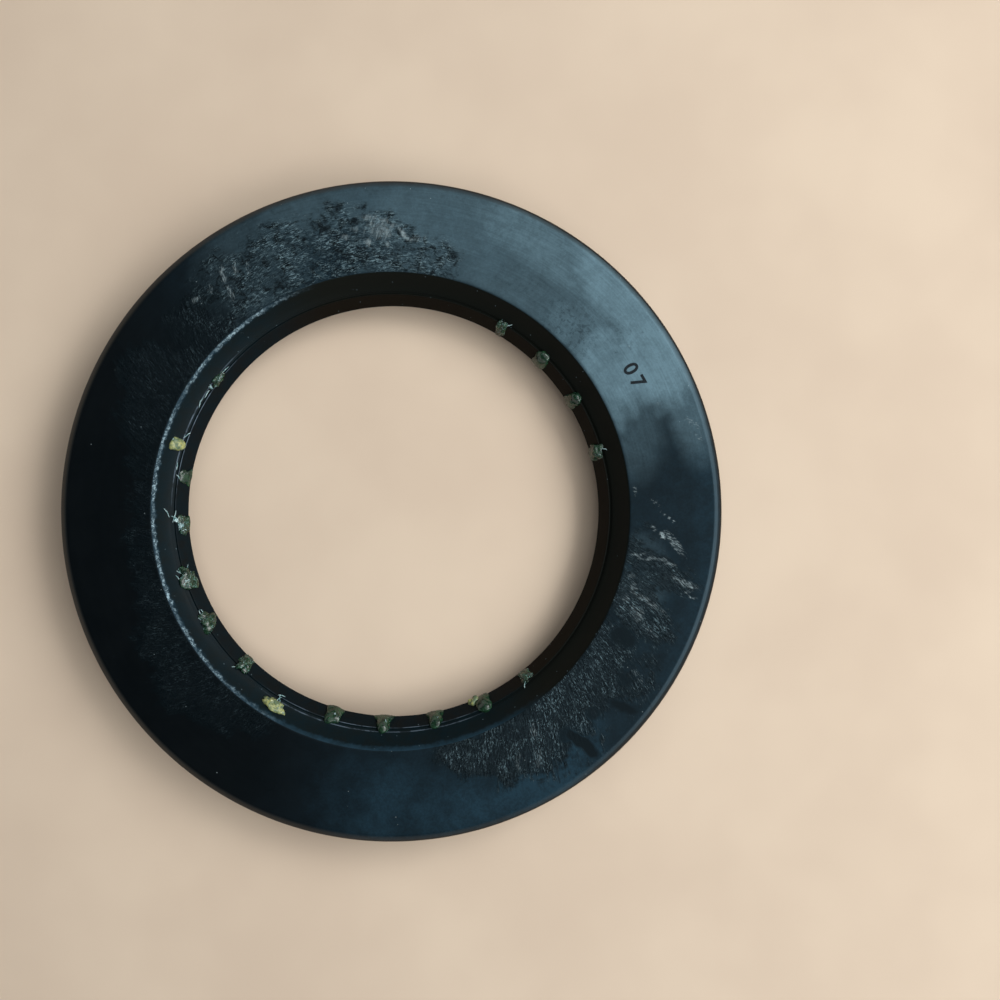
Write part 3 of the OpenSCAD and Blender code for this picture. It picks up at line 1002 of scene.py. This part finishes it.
# Threads drawn out of the wiped dots: azimuth, along, length, and heading from outwards to clockwise
wisps = {
    "thickness": 0.11,
    "thinnest": 0.35,      # share of it at a thread's ends
    "steps": 10,
    "bend": 45,
    "bendStep": 0.28,
    "ringR": 46,
    "lowest": 0.1,
    "lift": 0.6,
    "dark": (0.11, 0.24, 0.25),
    "light": (0.44, 0.60, 0.62),
    "clots": [
        # azimuth, along, length, width, height, flare, rough, fine
        (-177.9, 3.1, 0.5, 0.45, 0.35, 0.0, 0.5, 0.7), (-176.1, 2.3, 0.4, 0.6, 0.7, 0.0, 0.5, 0.7),
        (-175.0, 1.5, 0.6, 0.3, 0.55, 0.0, 0.5, 0.7), (-161.4, 3.4, 0.5, 0.4, 0.75, 0.0, 0.5, 0.7),
        (-149.0, 3.2, 0.4, 0.5, 0.7, 0.0, 0.5, 0.7), (-134.6, 2.9, 0.4, 0.4, 0.7, 0.0, 0.5, 0.7),
        (-105.8, 2.4, 0.28, 0.3, 1.1, 0.0, 0.4, 0.5), (-91.8, 2.3, 0.45, 0.18, 1.15, 0.0, 0.4, 0.5),
        (-77.7, 2.4, 0.28, 0.3, 1.1, 0.0, 0.4, 0.5), (145.6, 4.0, 0.35, 0.3, 0.3, 0.0, 0.5, 0.7),
        (161.9, 6.2, 0.4, 0.3, 0.3, 0.0, 0.5, 0.7),
    ],
    "places": [
        (-120.6, 3.0, 2.2, 20), (-121.4, 2.8, 1.8, -25), (-119.8, 2.6, 1.6, 60), (-133.0, 2.0, 2.0, 70),
        (-134.5, 3.1, 1.8, 30), (-148.2, 3.2, 2.4, 75), (-150.2, 3.8, 2.0, 100), (-149.0, 2.4, 1.9, 15),
        (-151.2, 2.0, 1.6, 60), (-160.4, 3.6, 2.4, 80), (-162.6, 3.0, 2.2, 40), (-163.2, 2.2, 1.7, 95),
        (-161.3, 4.4, 1.8, 60), (-174.6, 2.6, 2.2, 80), (-176.8, 4.0, 2.6, 110), (-178.2, 4.6, 2.2, 60),
        (-177.4, 2.4, 2.0, 30), (-175.6, 1.4, 1.5, 90), (171.8, 2.6, 1.5, 45), (169.3, 3.9, 1.6, 85),
        (160.8, 4.4, 1.9, 120), (152.0, 3.8, 2.2, 80), (149.0, 3.9, 1.9, 95), (141.2, 3.9, 2.0, 100),
        (144.6, 3.4, 1.7, 70), (58.6, 3.3, 1.5, 50), (16.9, 3.6, 1.4, 30), (-51.8, 3.0, 1.5, 40),
    ],
}


def wispGrease():
    material, tree, shader = newMaterial("wisp_grease")
    cloud = noiseOf(tree, millimetres(tree), 1.6, 3)
    base = blend(tree, between(tree, cloud, 0.35, 0.65), wisps["dark"], wisps["light"])
    connect(tree, shader, base, between(tree, cloud, 0.3, 0.7, 0.10, 0.25))
    return material


def wispStrand(seed, azimuth, along, length, heading):
    strand = []
    steps = wisps["steps"]
    a, b = along, 0
    for i in range(steps + 1):
        bend = heading + wisps["bend"] * noise.noise(Vector((i * wisps["bendStep"], seed * 3.7, 0)))
        a += length / steps * math.cos(math.radians(bend))
        b -= length / steps * math.sin(math.radians(bend))
        swell = math.sin(math.pi * (i + 0.5) / (steps + 1))
        place = onAirSide(azimuth + math.degrees(b / wisps["ringR"]), max(a, wisps["lowest"]),
                          wisps["thickness"] * wisps["lift"])
        strand.append((place, wisps["thinnest"] + (1 - wisps["thinnest"]) * swell))
    return strand


def greaseWisps():
    strands = [wispStrand(seed, *shape) for seed, shape in enumerate(wisps["places"])]
    bm = bmesh.new()
    bm.from_mesh(tubes(strands, wisps["thickness"] * mm, "wisps", 2))
    for seed, shape in enumerate(wisps["clots"]):
        addBlob(bm, *shape, seed=seed + 80, fineness=3)
    return asObject(bm, "greaseWisps", wispGrease())


greaseWisps()

lumps = [
    # azimuth, along, length, width, height, flare, rough, fine
    (-121.2, 5.6, 1.3, 2.2, 0.9, 0.0, 0.22, 0.18),
    (-122.4, 5.2, 1.0, 1.2, 0.8, 0.0, 0.25, 0.2),
    (162.6, 5.1, 1.75, 1.3, 0.95, 0.0, 0.12, 0.08),
    (-66.5, 0.5, 1.05, 1.2, 1.15, 0.0, 0.12, 0.08),
    (-67.9, 0.3, 0.6, 0.7, 0.8, 0.0, 0.15, 0.1),
]

yellowLook = {"light": (0.36, 0.38, 0.15), "dark": (0.105, 0.165, 0.095), "roughness": (0.38, 0.2)}


def yellowGrease():
    look = yellowLook
    material, tree, shader = newMaterial("yellow_grease")
    place = millimetres(tree)
    cloud = noiseOf(tree, place, 1.0, 4, 0.6, 0.4)
    base = blend(tree, between(tree, cloud, 0.38, 0.62), look["dark"], look["light"])
    lumpy = noiseOf(tree, place, 2.2, 4, 0.6)
    rough = between(tree, cloud, 0.3, 0.7, *look["roughness"])
    connect(tree, shader, base, rough, bumpOf(tree, lumpy, 0.14, 0.6))
    setShader(shader, {"Subsurface Weight": 0.3, "Subsurface Radius": (1.0, 0.9, 0.4),
                       "Subsurface Scale": 0.8 * mm})
    return material


def greaseLumps():
    bm = bmesh.new()
    for seed, shape in enumerate(lumps):
        addBlob(bm, *shape, seed=seed + 40)
    return asObject(bm, "greaseLumps", yellowGrease(), "grease_lumps")


greaseLumps()
print("grease laid on")


# Mould number, two plain digits standing a hair proud of the face

mark = {
    "text": "07",
    "azimuth": 29.2,
    "radius": 58.6,
    "height": 3.2,
    "capShare": 0.73,      # height of a digit as a share of the letter size
    "bold": 0.09,
    "proud": 0.05,
    "gap": 1.4,
    "deep": (0.004, 0.007, 0.010),
    "worn": (0.008, 0.014, 0.019),
}


def markMaterial():
    material, tree, shader = newMaterial("number_rubber")
    cloud = noiseOf(tree, millimetres(tree), 0.8, 3)
    base = blend(tree, between(tree, cloud, 0.3, 0.7), mark["deep"], mark["worn"])
    connect(tree, shader, base, between(tree, cloud, 0.3, 0.7, 0.5, 0.7))
    setShader(shader, {"Specular IOR Level": rubberLook["specular"]})
    return material


def mouldNumber():
    letters = bpy.data.curves.new("mouldNumber", "FONT")
    letters.body = mark["text"]
    letters.size = mark["height"] / mark["capShare"] * mm
    letters.space_character = mark["gap"]
    letters.align_x = "CENTER"
    letters.align_y = "CENTER"
    letters.offset = mark["bold"] * mm
    letters.extrude = mark["proud"] * mm
    mesh = meshOf(letters)
    turn = Matrix.Rotation(math.radians(mark["azimuth"] - 90), 4, "Z")
    mesh.transform(turn @ Matrix.Translation((0, mark["radius"] * mm, faceZ * mm)))
    bm = bmesh.new()
    bm.from_mesh(mesh)
    bmesh.ops.remove_doubles(bm, verts=bm.verts, dist=0.001 * mm)
    return asObject(bm, "mouldNumber", markMaterial(), sharp=30)


mouldNumber()
print("number raised")


# Floor, backdrop, lights and camera

stage = {
    "floorHalf": 1500,
    "wallRadius": 1480,
    "wallHeight": 720,
    "floorLight": (0.70, 0.575, 0.445),
    "floorDark": (0.645, 0.522, 0.403),
    "wallColour": (0.80, 0.76, 0.71),
    "skyColour": (0.92, 0.97, 1.0),
    "sky": 0.10,
}

lamps = {
    "ceiling": {"at": (420, 146, 713), "turn": (0, 0, 17.5), "size": (1200, 1400), "watts": 4.6},
    "window": {"at": (600, 306, 600), "turn": (0, 48.4, 27), "size": (450, 500), "watts": 4.3},
    "doorway": {"at": (575, -349, 600), "turn": (0, 48.4, -31), "size": (450, 700), "watts": 3.6},
}

camera = {"at": (23.02, 2.42, 238.8), "focal": 38.68, "sensor": 36}


def floorMaterial():
    material, tree, shader = newMaterial("pale_floor")
    cloud = noiseOf(tree, millimetres(tree), 0.02, 3)
    base = blend(tree, between(tree, cloud, 0.3, 0.7), stage["floorDark"], stage["floorLight"])
    connect(tree, shader, base, between(tree, cloud, 0.3, 0.7, 0.85, 0.95))
    setShader(shader, {"Specular IOR Level": 0.2})
    return material


# Pale to the camera and in reflections, and unlit for the rest, so that it adds no light

def backdropMaterial():
    material, tree, shader = newMaterial("pale_backdrop")
    tree.nodes.remove(shader)
    path = node(tree, "LightPath").outputs
    seen = larger(tree, path["Is Camera Ray"], path["Is Glossy Ray"])
    seen = larger(tree, seen, path["Is Transmission Ray"])
    glow = node(tree, "Emission", {"Color": (*stage["wallColour"], 1), "Strength": seen})
    tree.links.new(glow.outputs["Emission"], tree.nodes["Material Output"].inputs["Surface"])
    return material


def addToStage(bm, name, material):
    mesh = bpy.data.meshes.new(name)
    bm.to_mesh(mesh)
    bm.free()
    mesh.materials.append(material)
    thing = bpy.data.objects.new(name, mesh)
    scene.collection.objects.link(thing)


def buildStage():
    bm = bmesh.new()
    bmesh.ops.create_grid(bm, x_segments=1, y_segments=1, size=stage["floorHalf"] * mm)
    addToStage(bm, "floor", floorMaterial())
    bm = bmesh.new()
    bmesh.ops.create_cone(bm, cap_ends=False, segments=96, radius1=stage["wallRadius"] * mm,
                          radius2=stage["wallRadius"] * mm, depth=stage["wallHeight"] * mm)
    bmesh.ops.translate(bm, verts=bm.verts, vec=(0, 0, stage["wallHeight"] / 2 * mm))
    addToStage(bm, "backdrop", backdropMaterial())


def light():
    for name, look in lamps.items():
        lamp = bpy.data.lights.new(name, "AREA")
        lamp.shape = "RECTANGLE"
        lamp.size, lamp.size_y = (side * mm for side in look["size"])
        lamp.energy = look["watts"]
        holder = bpy.data.objects.new(name, lamp)
        holder.location = Vector(look["at"]) * mm
        holder.rotation_euler = [math.radians(angle) for angle in look["turn"]]
        scene.collection.objects.link(holder)
    world = bpy.data.worlds.new("studio")
    scene.world = world
    world.use_nodes = True
    sky = world.node_tree.nodes["Background"]
    sky.inputs["Color"].default_value = (*stage["skyColour"], 1)
    sky.inputs["Strength"].default_value = stage["sky"]


def setCamera():
    lens = bpy.data.cameras.new("camera")
    lens.sensor_width = camera["sensor"]
    lens.lens = camera["focal"]
    lens.clip_start = 0.01
    holder = bpy.data.objects.new("camera", lens)
    holder.location = Vector(camera["at"]) * mm
    scene.collection.objects.link(holder)
    scene.camera = holder


buildStage()
light()
setCamera()
scene.view_settings.view_transform = "Standard"
print("stage, light and camera set")

bpy.context.view_layer.update()
